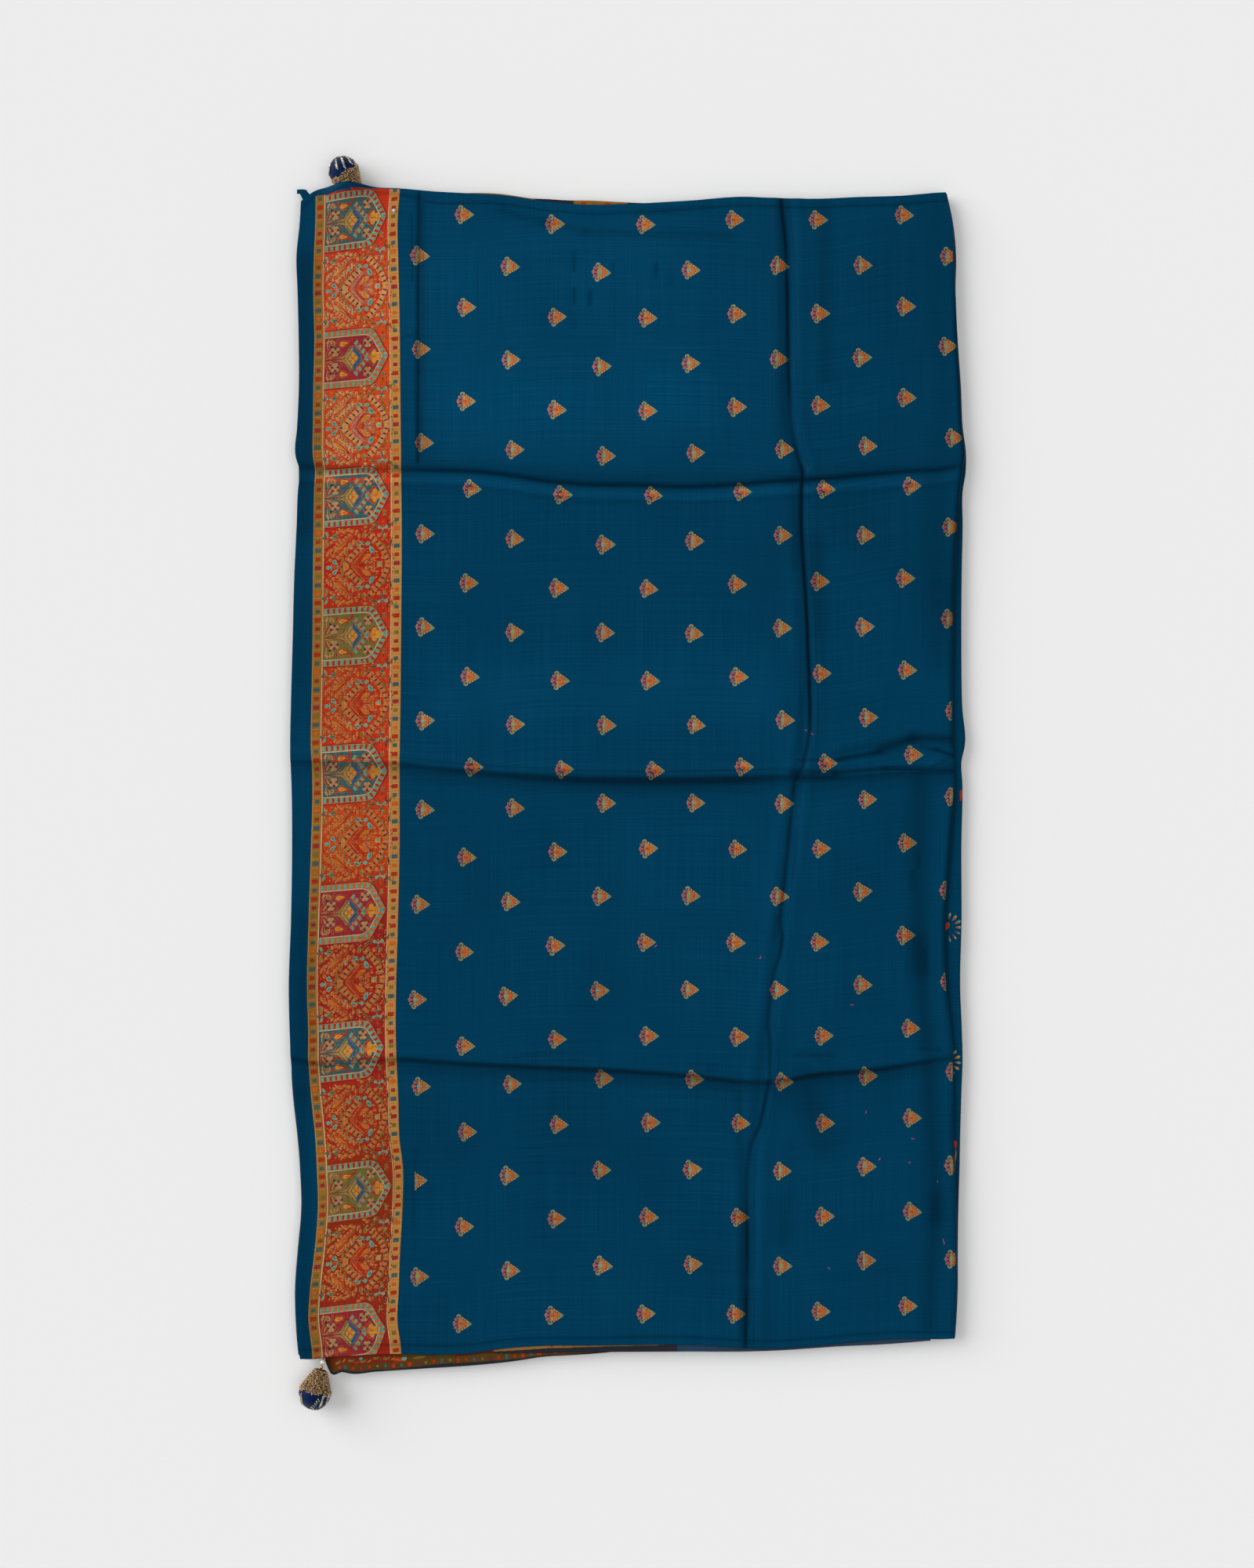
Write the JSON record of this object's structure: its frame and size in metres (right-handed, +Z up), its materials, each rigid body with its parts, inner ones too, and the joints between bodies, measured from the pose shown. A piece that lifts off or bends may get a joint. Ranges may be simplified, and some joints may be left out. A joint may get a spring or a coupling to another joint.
{
  "type": "dola silk saree, folded flat with two ball tassels",
  "caption": "Teal silk saree folded lengthwise and laid flat, with a woven brocade band along one end, flower motifs over the ground and a beaded ball tassel at each corner.",
  "frame": {"origin": "centre of the bounding box's bottom face, on the surface the folded saree lies on", "axes": "+X across the folded saree from the brocade band to the rolled fold, +Y along its long side towards the half-hidden tassel, +Z up from the surface"},
  "size_m": [0.6554, 1.213, 0.0307],
  "materials": {
    "teal_silk": "soft sheen, fine plain weave with small woven motifs",
    "shaded_silk": "soft sheen, fine plain weave",
    "woven_band": "jacquard brocade with coloured silk and gold thread",
    "border_brocade": "jacquard brocade with coloured silk and gold thread",
    "navy_thread": "silk thread wound smooth",
    "seed_beads": "small gold and silver lined glass beads",
    "pearl": "imitation pearl",
    "gold_bead": "polished gold tone"
  },
  "bodies": {
    "root": {"body_stretch": "teal_silk", "woven_band": "woven_band", "end_strip": "teal_silk", "corner_flap": "teal_silk", "border_stretch_low": "border_brocade", "border_stretch_mid": "border_brocade", "border_stretch_top": "border_brocade", "fold_stretch_right": "teal_silk", "folded_layers": "shaded_silk", "tassel_ball_top": "navy_thread", "tassel_cap_top": "seed_beads", "tassel_ball_bottom": "navy_thread", "tassel_cap_bottom": "seed_beads", "pearl_bottom": "pearl", "gold_bead_bottom": "gold_bead", "tassel_loop_bottom": "navy_thread"}
  },
  "joints": []
}
